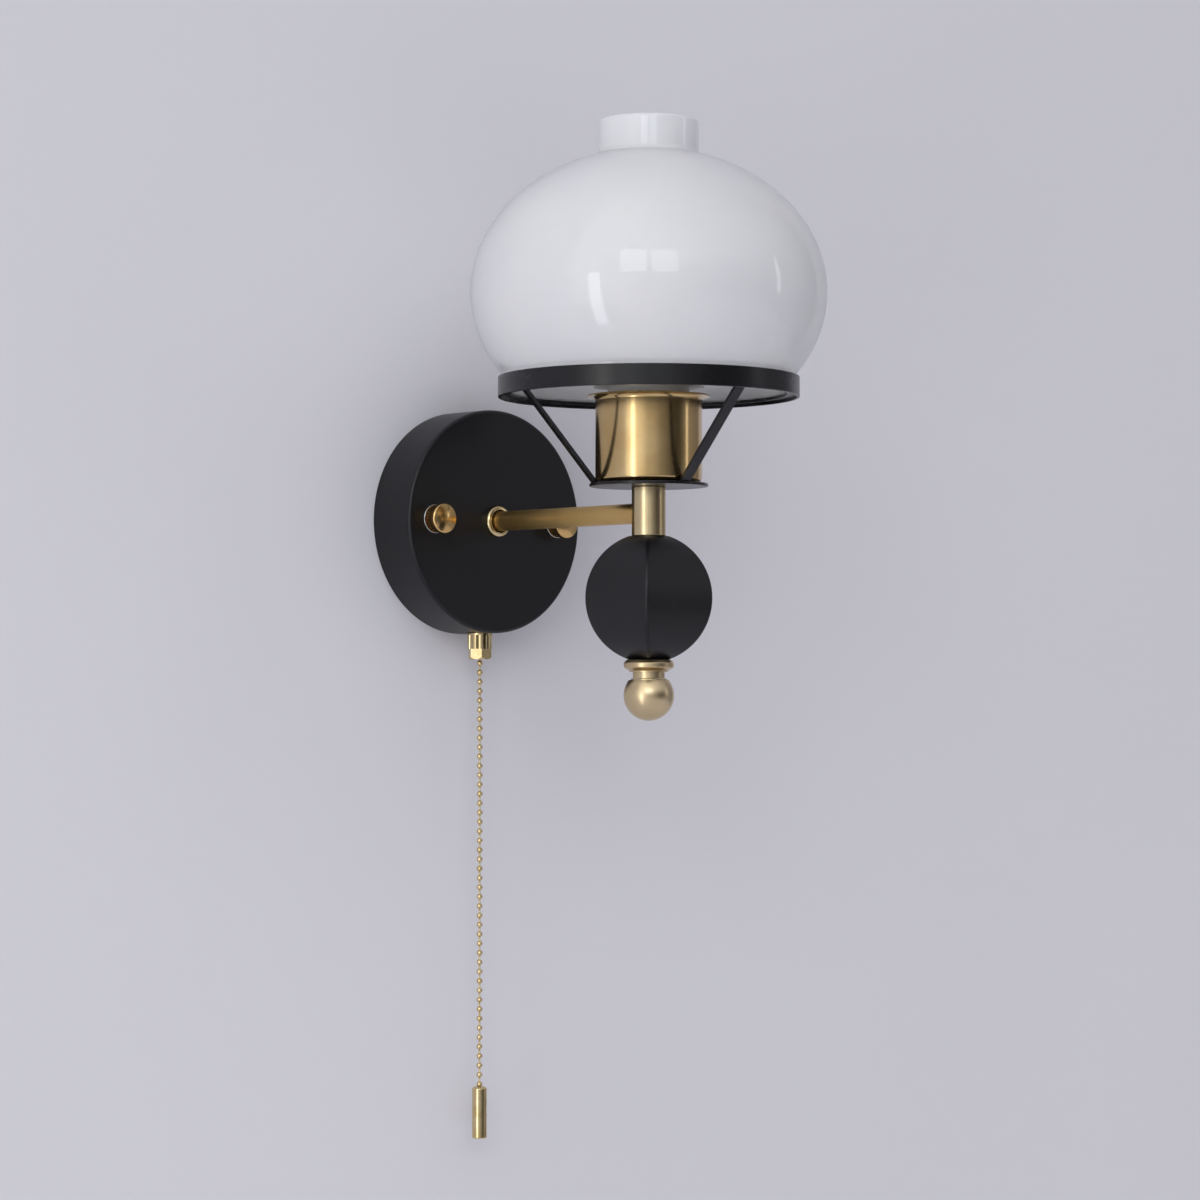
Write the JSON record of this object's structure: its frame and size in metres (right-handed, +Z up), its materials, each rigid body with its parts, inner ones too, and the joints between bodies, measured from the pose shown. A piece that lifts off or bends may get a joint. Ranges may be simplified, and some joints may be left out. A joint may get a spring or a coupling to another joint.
{
  "type": "wall light with a pull chain",
  "caption": "Wall light on one arm: an opal glass shade in a black gallery over a brass cup, a ridged black ball, a brass finial and a beaded pull chain.",
  "frame": {"origin": "centre of the canopy's rim, on the wall, at the height of the arm", "axes": "+Z up, +Y into the wall, -Y along the arm to the lamp, +X to the right seen from the room"},
  "size_m": [0.1828, 0.2414, 0.5326],
  "materials": {
    "black_metal": "satin black powder coat",
    "satin_brass": "satin lacquered brass",
    "polished_brass": "polished brass",
    "chain_brass": "polished bead chain",
    "plain_brass": "plain turned brass",
    "zinc_steel": "zinc plated steel",
    "nickel_washer": "nickel plate",
    "opal_glass": "gloss opal glass",
    "white_plastic": "white moulded plastic",
    "bulb_plastic": "milky bulb diffuser",
    "black_plastic": "black moulded plastic",
    "brown_wire": "brown insulation",
    "blue_wire": "blue insulation",
    "green_wire": "green and yellow insulation"
  },
  "bodies": {
    "fixture": {"wall_bracket": "zinc_steel", "bracket_studs": "zinc_steel", "stud_lock_nuts": "zinc_steel", "earth_screw": "plain_brass", "canopy": "black_metal", "cap_nut_washers": "nickel_washer", "arm_collar": "polished_brass", "rear_nipple": "zinc_steel", "arm_lock_nut": "zinc_steel", "arm_tube": "satin_brass", "front_nipple": "zinc_steel", "stem": "satin_brass", "lamp_nipple": "zinc_steel", "tie_rod": "zinc_steel", "gallery_plate": "black_metal", "gallery_ring": "black_metal", "gallery_bar_left": "black_metal", "gallery_bar_right": "black_metal", "gallery_bar_back": "black_metal", "brass_cup": "satin_brass", "cup_lock_nut": "zinc_steel", "holder_base": "white_plastic", "holder_insert": "white_plastic", "socket_shell": "plain_brass", "socket_contact": "plain_brass", "holder_sleeve": "white_plastic", "shade_ring": "white_plastic", "ridged_ball": "black_metal", "finial_collar": "satin_brass", "switch_housing": "black_plastic", "switch_cover": "black_plastic", "switch_neck": "polished_brass", "switch_washer": "polished_brass", "fluted_nut": "polished_brass", "bell_mouth": "polished_brass", "switch_axle": "zinc_steel", "return_spring": "zinc_steel", "switch_contacts": "plain_brass", "terminal_block": "white_plastic", "terminal_tubes": "plain_brass", "clamp_screws": "zinc_steel", "feed_wire": "brown_wire", "switched_wire": "brown_wire", "neutral_wire": "blue_wire", "earth_wire": "green_wire"},
    "left_cap_nut": {"cap_nut_left": "polished_brass"},
    "right_cap_nut": {"cap_nut_right": "polished_brass"},
    "finial": {"finial_ball": "satin_brass"},
    "shade": {"glass_shade": "opal_glass"},
    "bulb": {"bulb_contact": "plain_brass", "bulb_insulator": "black_plastic", "bulb_cap": "nickel_washer", "bulb_body": "white_plastic", "bulb_diffuser": "bulb_plastic"},
    "chain_end": {"chain_lead": "chain_brass"},
    "swivel_bead": {"first_bead": "chain_brass"},
    "hanging_chain": {"pull_chain": "chain_brass", "pendant": "polished_brass"},
    "drum": {"chain_drum": "white_plastic"},
    "rotor": {"contact_rotor": "black_plastic"}
  },
  "joints": [
    {"name": "left_cap_nut_turn", "type": "hinge", "parent": "fixture", "child": "left_cap_nut", "pos_m": [-0.043, -0.035, 0], "axis": [0, -1, 0], "continuous": true},
    {"name": "right_cap_nut_turn", "type": "hinge", "parent": "fixture", "child": "right_cap_nut", "pos_m": [0.043, -0.035, 0], "axis": [0, -1, 0], "continuous": true},
    {"name": "finial_turn", "type": "hinge", "parent": "fixture", "child": "finial", "pos_m": [0, -0.15, -0.09], "axis": [0, 0, -1], "continuous": true},
    {"name": "shade_lift", "type": "slide", "parent": "fixture", "child": "shade", "axis": [0, 0, 1], "range_m": [0, 0.12]},
    {"name": "bulb_lift", "type": "slide", "parent": "fixture", "child": "bulb", "axis": [0, 0, 1], "range_m": [0, 0.022]},
    {"name": "chain_pull", "type": "slide", "parent": "fixture", "child": "chain_end", "axis": [0, 0, -1], "range_m": [0, 0.009], "stiffness_N_per_m": 400, "springref_m": -0.01},
    {"name": "chain_swing_side", "type": "hinge", "parent": "chain_end", "child": "swivel_bead", "pos_m": [0, -0.0165, -0.076], "axis": [0, 1, 0], "range_deg": [-30, 30]},
    {"name": "chain_swing_out", "type": "hinge", "parent": "swivel_bead", "child": "hanging_chain", "pos_m": [0, -0.0165, -0.076], "axis": [-1, 0, 0], "range_deg": [-2.5, 30]},
    {"name": "drum_turn", "type": "hinge", "parent": "fixture", "child": "drum", "pos_m": [0.00525, -0.0165, -0.04582], "axis": [0, -1, 0], "range_deg": [0, 99]},
    {"name": "rotor_turn", "type": "hinge", "parent": "fixture", "child": "rotor", "pos_m": [0.00525, -0.0165, -0.04582], "axis": [0, -1, 0], "range_deg": [0, 91]}
  ],
  "couplings": [
    {"joint": "drum_turn", "follows": "chain_pull", "rad_per_m": 190.48},
    {"joint": "rotor_turn", "follows": "chain_pull", "rad_per_m": 174.53}
  ]
}
